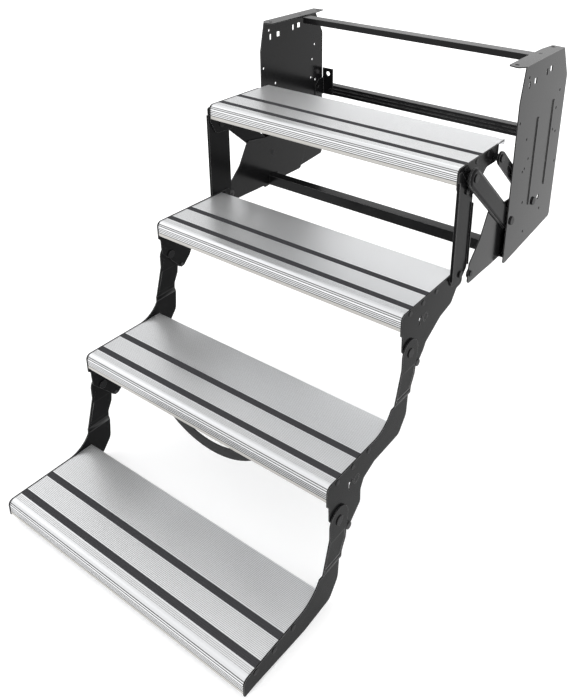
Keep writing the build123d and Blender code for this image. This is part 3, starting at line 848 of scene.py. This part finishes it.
class ENTRYSTEP_OT_front_arms(bpy.types.Operator):
    """Builds the two front arms, each a flat flange with a rounded crown pressed out of it"""
    bl_idname = "entry_step.front_arms"
    bl_label = "Front Arms"

    def execute(self, context):
        for side in ("left", "right"):
            node = "front_arm_" + side
            low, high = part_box(node)
            ends = ((low.y + ARM_PIVOT_INSET, high.z - ARM_PIVOT_INSET),
                    (high.y - ARM_PIVOT_INSET, low.z + ARM_PIVOT_INSET))
            inner, outer = sorted((abs(low.x), abs(high.x)))
            bm = bmesh.new()
            rounded_bar(bm, ends, ARM_RADIUS, inner, inner + FLANGE_THICKNESS, FLANGE_EDGE,
                        segments=2)
            rounded_bar(bm, ends, ARM_RADIUS - CROWN_SETBACK, inner + CROWN_FOOT, outer,
                        CROWN_EDGE, segments=6)
            if side == "left":
                bmesh.ops.scale(bm, vec=(-1.0, 1.0, 1.0), verts=bm.verts)
            bmesh.ops.recalc_face_normals(bm, faces=bm.faces)
            piece = finish_piece(bm, "pressed_" + node, "front_arms", "deep_black_paint",
                                 (node,))
            even_shading(piece)
        return {"FINISHED"}


class ENTRYSTEP_OT_pins(bpy.types.Operator):
    """Rounds the rims of the pins, rivets and bolts"""
    bl_idname = "entry_step.pins"
    bl_label = "Pins and Rivets"

    def execute(self, context):
        sizes = context.scene.entry_step_sizes
        for body, nodes in TURNED_PARTS.items():
            for node in nodes:
                bm = copy_of_node(node)
                soften(bm, sizes.head_edge, HEAD_CORNER, segments=3)
                piece = finish_piece(bm, "turned_" + node, body, "pin_coating",
                                     (node,))
                even_shading(piece)
        return {"FINISHED"}


# Rubber

class ENTRYSTEP_OT_bumpers(bpy.types.Operator):
    """Rounds the rubber bumpers and rest pads"""
    bl_idname = "entry_step.bumpers"
    bl_label = "Bumpers and Pads"

    def execute(self, context):
        for body, nodes in RUBBER_BUTTONS.items():
            for node in nodes:
                bm = copy_of_node(node)
                soften(bm, RUBBER_EDGE, HEAD_CORNER, segments=3)
                finish_piece(bm, "rubber_" + node, body, "soft_rubber", (node,))
        return {"FINISHED"}


def strap_section(sizes, middle):
    """The flat strap's section with rounded corners, across the X axis at the given place."""
    bm = bmesh.new()
    bmesh.ops.create_grid(bm, x_segments=1, y_segments=1, size=0.5)
    bmesh.ops.scale(bm, verts=bm.verts, vec=(sizes.strap_width, sizes.strap_thickness, 1.0))
    bmesh.ops.bevel(bm, geom=bm.verts[:], offset=RUBBER_EDGE, offset_type="OFFSET", segments=3,
                    profile=0.5, affect="VERTICES", material=-1)
    bmesh.ops.rotate(bm, verts=bm.verts, cent=(0, 0, 0),
                     matrix=Matrix.Rotation(math.radians(90), 3, "Y"))
    bmesh.ops.translate(bm, verts=bm.verts, vec=middle)
    return bm


class ENTRYSTEP_OT_pull_strap(bpy.types.Operator):
    """Bends the flat rubber strap that lifts the lower steps"""
    bl_idname = "entry_step.pull_strap"
    bl_label = "Pull Strap"

    def execute(self, context):
        low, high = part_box("pull_strap")
        half_span = (high.x - low.x) / 2
        sag = high.z - low.z
        radius = (half_span ** 2 + sag ** 2) / (2 * sag)
        centre = Vector((0.0, (low.y + high.y) / 2, low.z + radius))
        swing = math.asin(half_span / radius)
        bottom = centre - Vector((0.0, 0.0, radius - STRAP_BAND / 2))
        bm = strap_section(context.scene.entry_step_sizes, bottom)
        bmesh.ops.rotate(bm, verts=bm.verts, cent=centre, matrix=Matrix.Rotation(swing, 3, "Y"))
        bmesh.ops.spin(bm, geom=bm.faces[:], cent=centre, axis=(0.0, 1.0, 0.0),
                       angle=-2 * swing, steps=STRAP_STEPS, use_merge=False)
        bmesh.ops.recalc_face_normals(bm, faces=bm.faces)
        cut = bmesh.ops.bisect_plane(bm, geom=bm.verts[:] + bm.edges[:] + bm.faces[:],
                                     plane_co=(0.0, 0.0, high.z), plane_no=(0.0, 0.0, 1.0),
                                     clear_outer=True)
        rim = [item for item in cut["geom_cut"] if isinstance(item, bmesh.types.BMEdge)]
        bmesh.ops.holes_fill(bm, edges=rim, sides=0)
        bmesh.ops.recalc_face_normals(bm, faces=bm.faces)
        finish_piece(bm, "rubber_pull_strap", "step_3", "soft_rubber",
                     ("pull_strap",))
        return {"FINISHED"}


# Studio

def camera_frame():
    """Right, up and back directions of the camera from its yaw, downward tilt and roll."""
    yaw = math.radians(CAMERA_YAW)
    down = math.radians(CAMERA_DOWN)
    roll = math.radians(CAMERA_ROLL)
    ahead = Vector((-math.sin(yaw) * math.cos(down), math.cos(yaw) * math.cos(down),
                    -math.sin(down)))
    level = Vector((math.cos(yaw), math.sin(yaw), 0.0))
    upright = level.cross(ahead)
    right = math.cos(roll) * level + math.sin(roll) * upright
    up = math.cos(roll) * upright - math.sin(roll) * level
    return Matrix((right, up, -ahead)).transposed()


def add_camera():
    camera = bpy.data.cameras.new("photo_view")
    camera.sensor_width = 36.0
    camera.lens = FOCAL_PIXELS / IMAGE_HEIGHT * camera.sensor_width
    camera.shift_x = (IMAGE_WIDTH / 2 - VIEW_CENTRE[0]) / IMAGE_HEIGHT
    camera.shift_y = (VIEW_CENTRE[1] - IMAGE_HEIGHT / 2) / IMAGE_HEIGHT
    camera.clip_end = 50.0
    holder = bpy.data.objects.new("photo_view", camera)
    bpy.context.scene.collection.objects.link(holder)
    holder.matrix_world = Matrix.Translation(CAMERA_PLACE) @ camera_frame().to_4x4()
    bpy.context.scene.camera = holder


def add_area_light(name, place, target, size, power):
    lamp = bpy.data.lights.new(name, "AREA")
    lamp.shape = "RECTANGLE"
    lamp.size, lamp.size_y = size
    lamp.energy = power
    holder = bpy.data.objects.new(name, lamp)
    bpy.context.scene.collection.objects.link(holder)
    holder.visible_camera = False
    aim = (Vector(target) - Vector(place)).to_track_quat("-Z", "Y")
    holder.matrix_world = Matrix.Translation(place) @ aim.to_matrix().to_4x4()


def seen_or_reflected(tree):
    """One where a camera, glossy or transmission ray looks, and zero for other rays."""
    path = tree.nodes.new("ShaderNodeLightPath").outputs
    first = calculate(tree, "MAXIMUM", path["Is Camera Ray"], path["Is Glossy Ray"])
    return calculate(tree, "MAXIMUM", first, path["Is Transmission Ray"])


def build_world():
    """White wherever it is seen or reflected, and an even light from all around."""
    world = bpy.data.worlds.new("studio_white")
    world.use_nodes = True
    bpy.context.scene.world = world
    tree = world.node_tree
    background = tree.nodes["Background"]
    background.inputs["Color"].default_value = (1.0, 1.0, 1.0, 1.0)
    feed(tree, background.inputs["Strength"],
         to_range(tree, seen_or_reflected(tree), WORLD_LIGHT, 1.0))


def floor_material(colour):
    """Pale and matt, with a glow that fades it to the white background away from the middle."""
    material, tree, shader = new_material("pale_floor")
    shader.inputs["Base Color"].default_value = tuple(colour)
    shader.inputs["Roughness"].default_value = 0.9
    shader.inputs["Specular IOR Level"].default_value = 0.1
    glow = tree.nodes.new("ShaderNodeEmission")
    join = tree.nodes.new("ShaderNodeAddShader")
    place = tree.nodes.new("ShaderNodeTexCoord")
    away = tree.nodes.new("ShaderNodeVectorMath")
    away.operation = "LENGTH"
    feed(tree, away.inputs[0], place.outputs["Object"])
    fade = tree.nodes.new("ShaderNodeMapRange")
    for label, value in FLOOR_GLOW.items():
        fade.inputs[label].default_value = value
    feed(tree, fade.inputs["Value"], away.outputs["Value"])
    feed(tree, glow.inputs["Strength"],
         to_range(tree, seen_or_reflected(tree), 0.0, fade.outputs["Result"]))
    feed(tree, join.inputs[0], shader.outputs["BSDF"])
    feed(tree, join.inputs[1], glow.outputs["Emission"])
    feed(tree, tree.nodes["Material Output"].inputs["Surface"], join.outputs["Shader"])
    return material


def build_floor(colour, height):
    """A pale floor that keeps the object's shadow."""
    bm = bmesh.new()
    bmesh.ops.create_grid(bm, x_segments=8, y_segments=8, size=FLOOR_REACH)
    bmesh.ops.translate(bm, verts=bm.verts, vec=(0.0, 0.0, height))
    mesh = bpy.data.meshes.new("studio_floor")
    bm.to_mesh(mesh)
    bm.free()
    mesh.materials.append(floor_material(colour))
    floor = bpy.data.objects.new("studio_floor", mesh)
    bpy.context.scene.collection.objects.link(floor)
    floor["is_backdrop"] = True


class ENTRYSTEP_OT_studio(bpy.types.Operator):
    """Sets the camera at the photograph's angle with a white floor and soft light"""
    bl_idname = "entry_step.studio"
    bl_label = "Studio"

    def execute(self, context):
        add_camera()
        build_world()
        build_floor(context.scene.entry_step_colours.floor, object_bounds()[0].z - FLOOR_GAP)
        for softbox in SOFTBOXES:
            add_area_light(*softbox)
        context.scene.view_settings.view_transform = "Standard"
        return {"FINISHED"}


class ENTRYSTEP_OT_finishes(bpy.types.Operator):
    """Builds the paint, metal and rubber and puts them on the CAD parts"""
    bl_idname = "entry_step.finishes"
    bl_label = "Finishes"

    def execute(self, context):
        build_materials(context.scene.entry_step_colours)
        chosen = {"black_steel": "black_paint", "pin_steel": "pin_coating",
                  "tread_aluminium": "tread_aluminium", "grip_rubber": "grip_rubber",
                  "bumper_rubber": "soft_rubber", "strap_rubber": "soft_rubber"}
        for part in frame["record"]["subparts"]:
            mesh = frame["nodes"][part["node"]].data
            mesh.materials.clear()
            mesh.materials.append(bpy.data.materials[chosen[part["material_slot"]]])
        return {"FINISHED"}


class ENTRYSTEP_PT_sidebar(bpy.types.Panel):
    """Lists the pieces of the entry step with their sizes and colours"""
    bl_idname = "ENTRYSTEP_PT_sidebar"
    bl_label = "Entry Step"
    bl_space_type = "VIEW_3D"
    bl_region_type = "UI"
    bl_category = "Entry Step"

    def draw(self, context):
        layout = self.layout
        for operator in OPERATORS:
            layout.operator(operator.bl_idname)
        for owner in (context.scene.entry_step_sizes, context.scene.entry_step_colours):
            box = layout.box()
            for name in owner.__annotations__:
                box.prop(owner, name)


OPERATORS = (
    ENTRYSTEP_OT_finishes, ENTRYSTEP_OT_treads, ENTRYSTEP_OT_grip_strips,
    ENTRYSTEP_OT_steel_sheets, ENTRYSTEP_OT_front_arms, ENTRYSTEP_OT_pins, ENTRYSTEP_OT_bumpers,
    ENTRYSTEP_OT_pull_strap, ENTRYSTEP_OT_studio)
CLASSES = (EntryStepSizes, EntryStepColours) + OPERATORS + (ENTRYSTEP_PT_sidebar,)


def register():
    for cls in CLASSES:
        bpy.utils.register_class(cls)
    bpy.types.Scene.entry_step_sizes = bpy.props.PointerProperty(type=EntryStepSizes)
    bpy.types.Scene.entry_step_colours = bpy.props.PointerProperty(type=EntryStepColours)


def unregister():
    del bpy.types.Scene.entry_step_colours
    del bpy.types.Scene.entry_step_sizes
    for cls in reversed(CLASSES):
        bpy.utils.unregister_class(cls)


def main():
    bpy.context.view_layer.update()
    register()
    bpy.ops.entry_step.finishes()
    bpy.ops.entry_step.treads()
    bpy.ops.entry_step.grip_strips()
    bpy.ops.entry_step.steel_sheets()
    bpy.ops.entry_step.front_arms()
    bpy.ops.entry_step.pins()
    bpy.ops.entry_step.bumpers()
    bpy.ops.entry_step.pull_strap()
    bpy.ops.entry_step.studio()


if __name__ == "__main__":
    main()
